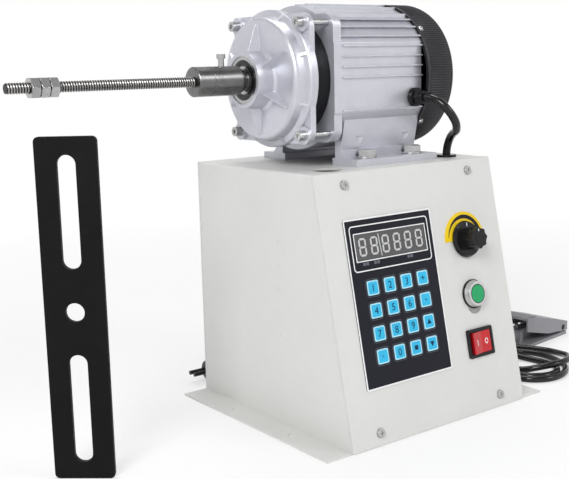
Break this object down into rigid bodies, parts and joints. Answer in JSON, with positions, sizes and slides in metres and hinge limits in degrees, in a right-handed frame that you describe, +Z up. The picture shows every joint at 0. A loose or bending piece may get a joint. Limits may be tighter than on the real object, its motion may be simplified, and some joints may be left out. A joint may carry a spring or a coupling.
{
  "type": "wire coil winding machine",
  "caption": "Bench coil winder: sheet metal console with keypad panel, geared motor on top driving a threaded spindle, foot pedal on a cord and a slotted clamp plate.",
  "frame": {"origin": "on the floor, at the centre of the rectangle of holes in the console's two foot flanges", "axes": "+X to the operator's right along the motor's axis, +Y to the back, +Z up"},
  "size_m": [0.7305, 0.3729, 0.4182],
  "materials": {
    "console_paint": "satin pale grey powder coat",
    "zinc_steel": "bright zinc plated",
    "black_plastic": "fine satin",
    "overlay_black": "printed membrane",
    "key_face": "printed membrane key, cyan",
    "dial_yellow": "printed scale plate",
    "button_green": "gloss",
    "bezel_steel": "satin nickel",
    "rocker_red": "translucent red",
    "circuit_board": "solder mask",
    "motor_paint": "silver grey paint on castings",
    "lamination_black": "black painted steel",
    "cover_black": "satin black",
    "end_ring_grey": "silver grey paint",
    "bearing_steel": "ground",
    "turned_steel": "turned",
    "rod_steel": "rolled thread, dark",
    "black_rubber": "smooth cord jacket",
    "pedal_metal": "grey paint",
    "plate_steel": "dark oxide",
    "driver_shell": "brushed"
  },
  "bodies": {
    "console": {"enclosure_shell": "console_paint", "front_panel": "console_paint", "rear_panel": "console_paint", "bottom_plate": "console_paint", "panel_screws": "zinc_steel", "motor_driver": "driver_shell", "control_board": "circuit_board", "keypad_overlay": "overlay_black", "speed_dial_plate": "dial_yellow", "speed_potentiometer": "zinc_steel", "start_button_body": "bezel_steel", "power_switch_body": "black_plastic", "motor_housing": "motor_paint", "gear_case": "motor_paint", "tie_bolts": "zinc_steel", "gearbox_plate": "motor_paint", "ring_gear": "turned_steel", "stator": "lamination_black", "bearings": "bearing_steel", "rear_cover": "cover_black", "rear_cover_ring": "end_ring_grey", "motor_foot_bolts": "zinc_steel", "motor_cable": "black_rubber", "cable_fittings": "black_rubber", "pedal_base": "pedal_metal", "pedal_cord": "black_rubber", "mains_cord": "black_rubber", "mains_coil": "black_rubber", "mains_plug": "black_rubber"},
    "spindle": {"output_carrier": "turned_steel", "spindle_coupler": "turned_steel", "coupler_screws": "zinc_steel", "threaded_rod": "rod_steel", "lock_nuts": "zinc_steel"},
    "motor_rotor": {"rotor": "turned_steel"},
    "planet_1": {"planet_gear_1": "turned_steel"},
    "planet_2": {"planet_gear_2": "turned_steel"},
    "planet_3": {"planet_gear_3": "turned_steel"},
    "rod_end_nut": {"outer_nut": "zinc_steel"},
    "knob": {"speed_knob": "black_plastic"},
    "start_button": {"start_button_cap": "button_green"},
    "power_rocker": {"power_switch_rocker": "rocker_red"},
    "treadle": {"pedal_treadle": "pedal_metal"},
    "clamp_plate": {"slotted_plate": "plate_steel"},
    "key_r1c1_body": {"key_r1c1": "key_face"},
    "key_r1c2_body": {"key_r1c2": "key_face"},
    "key_r1c3_body": {"key_r1c3": "key_face"},
    "key_r1c4_body": {"key_r1c4": "key_face"},
    "key_r2c1_body": {"key_r2c1": "key_face"},
    "key_r2c2_body": {"key_r2c2": "key_face"},
    "key_r2c3_body": {"key_r2c3": "key_face"},
    "key_r2c4_body": {"key_r2c4": "key_face"},
    "key_r3c1_body": {"key_r3c1": "key_face"},
    "key_r3c2_body": {"key_r3c2": "key_face"},
    "key_r3c3_body": {"key_r3c3": "key_face"},
    "key_r3c4_body": {"key_r3c4": "key_face"},
    "key_r4c1_body": {"key_r4c1": "key_face"},
    "key_r4c2_body": {"key_r4c2": "key_face"},
    "key_r4c3_body": {"key_r4c3": "key_face"},
    "key_r4c4_body": {"key_r4c4": "key_face"}
  },
  "joints": [
    {"name": "spindle_spin", "type": "hinge", "parent": "console", "child": "spindle", "pos_m": [-0.2, 0.03, 0.343], "axis": [1, 0, 0], "continuous": true},
    {"name": "rotor_spin", "type": "hinge", "parent": "console", "child": "motor_rotor", "pos_m": [0, 0.03, 0.343], "axis": [1, 0, 0], "continuous": true},
    {"name": "planet_spin_1", "type": "hinge", "parent": "spindle", "child": "planet_1", "pos_m": [-0.0893, 0.05475, 0.343], "axis": [1, 0, 0], "continuous": true},
    {"name": "planet_spin_2", "type": "hinge", "parent": "spindle", "child": "planet_2", "pos_m": [-0.0893, 0.01762, 0.36443], "axis": [1, 0, 0], "continuous": true},
    {"name": "planet_spin_3", "type": "hinge", "parent": "spindle", "child": "planet_3", "pos_m": [-0.0893, 0.01762, 0.32157], "axis": [1, 0, 0], "continuous": true},
    {"name": "outer_nut_slide", "type": "slide", "parent": "spindle", "child": "rod_end_nut", "axis": [1, 0, 0], "range_m": [-0.018, 0.0004]},
    {"name": "speed_knob_turn", "type": "hinge", "parent": "console", "child": "knob", "pos_m": [0.066, -0.08903, 0.17528], "axis": [0, -0.9785, 0.2064], "range_deg": [-150, 150]},
    {"name": "start_button_press", "type": "slide", "parent": "console", "child": "start_button", "axis": [0, 0.9785, -0.2064], "range_m": [0, 0.003], "stiffness_N_per_m": 600, "springref_m": -0.001},
    {"name": "power_switch_rock", "type": "hinge", "parent": "console", "child": "power_rocker", "pos_m": [0.066, -0.10971, 0.06998], "axis": [0, -0.2064, -0.9785], "range_deg": [0, 14]},
    {"name": "key_r1c1_press", "type": "slide", "parent": "console", "child": "key_r1c1_body", "axis": [0, 0.9785, -0.2064], "range_m": [0, 0.0005], "stiffness_N_per_m": 400, "springref_m": -0.0002},
    {"name": "key_r1c2_press", "type": "slide", "parent": "console", "child": "key_r1c2_body", "axis": [0, 0.9785, -0.2064], "range_m": [0, 0.0005], "stiffness_N_per_m": 400, "springref_m": -0.0002},
    {"name": "key_r1c3_press", "type": "slide", "parent": "console", "child": "key_r1c3_body", "axis": [0, 0.9785, -0.2064], "range_m": [0, 0.0005], "stiffness_N_per_m": 400, "springref_m": -0.0002},
    {"name": "key_r1c4_press", "type": "slide", "parent": "console", "child": "key_r1c4_body", "axis": [0, 0.9785, -0.2064], "range_m": [0, 0.0005], "stiffness_N_per_m": 400, "springref_m": -0.0002},
    {"name": "key_r2c1_press", "type": "slide", "parent": "console", "child": "key_r2c1_body", "axis": [0, 0.9785, -0.2064], "range_m": [0, 0.0005], "stiffness_N_per_m": 400, "springref_m": -0.0002},
    {"name": "key_r2c2_press", "type": "slide", "parent": "console", "child": "key_r2c2_body", "axis": [0, 0.9785, -0.2064], "range_m": [0, 0.0005], "stiffness_N_per_m": 400, "springref_m": -0.0002},
    {"name": "key_r2c3_press", "type": "slide", "parent": "console", "child": "key_r2c3_body", "axis": [0, 0.9785, -0.2064], "range_m": [0, 0.0005], "stiffness_N_per_m": 400, "springref_m": -0.0002},
    {"name": "key_r2c4_press", "type": "slide", "parent": "console", "child": "key_r2c4_body", "axis": [0, 0.9785, -0.2064], "range_m": [0, 0.0005], "stiffness_N_per_m": 400, "springref_m": -0.0002},
    {"name": "key_r3c1_press", "type": "slide", "parent": "console", "child": "key_r3c1_body", "axis": [0, 0.9785, -0.2064], "range_m": [0, 0.0005], "stiffness_N_per_m": 400, "springref_m": -0.0002},
    {"name": "key_r3c2_press", "type": "slide", "parent": "console", "child": "key_r3c2_body", "axis": [0, 0.9785, -0.2064], "range_m": [0, 0.0005], "stiffness_N_per_m": 400, "springref_m": -0.0002},
    {"name": "key_r3c3_press", "type": "slide", "parent": "console", "child": "key_r3c3_body", "axis": [0, 0.9785, -0.2064], "range_m": [0, 0.0005], "stiffness_N_per_m": 400, "springref_m": -0.0002},
    {"name": "key_r3c4_press", "type": "slide", "parent": "console", "child": "key_r3c4_body", "axis": [0, 0.9785, -0.2064], "range_m": [0, 0.0005], "stiffness_N_per_m": 400, "springref_m": -0.0002},
    {"name": "key_r4c1_press", "type": "slide", "parent": "console", "child": "key_r4c1_body", "axis": [0, 0.9785, -0.2064], "range_m": [0, 0.0005], "stiffness_N_per_m": 400, "springref_m": -0.0002},
    {"name": "key_r4c2_press", "type": "slide", "parent": "console", "child": "key_r4c2_body", "axis": [0, 0.9785, -0.2064], "range_m": [0, 0.0005], "stiffness_N_per_m": 400, "springref_m": -0.0002},
    {"name": "key_r4c3_press", "type": "slide", "parent": "console", "child": "key_r4c3_body", "axis": [0, 0.9785, -0.2064], "range_m": [0, 0.0005], "stiffness_N_per_m": 400, "springref_m": -0.0002},
    {"name": "key_r4c4_press", "type": "slide", "parent": "console", "child": "key_r4c4_body", "axis": [0, 0.9785, -0.2064], "range_m": [0, 0.0005], "stiffness_N_per_m": 400, "springref_m": -0.0002},
    {"name": "pedal_press", "type": "hinge", "parent": "console", "child": "treadle", "pos_m": [0.34985, 0.03332, 0.0105], "axis": [0.1167, -0.9932, 0], "range_deg": [0, 6.5], "stiffness_Nm_per_rad": 6, "springref_deg": -2.86},
    {"name": "slotted_plate_lift", "type": "slide", "parent": "console", "child": "clamp_plate", "axis": [0, 0, 1], "range_m": [0, 0.12]}
  ],
  "couplings": [
    {"joint": "rotor_spin", "follows": "spindle_spin", "ratio": 5.5},
    {"joint": "planet_spin_1", "follows": "spindle_spin", "ratio": -2.5714},
    {"joint": "planet_spin_2", "follows": "spindle_spin", "ratio": -2.5714},
    {"joint": "planet_spin_3", "follows": "spindle_spin", "ratio": -2.5714}
  ]
}
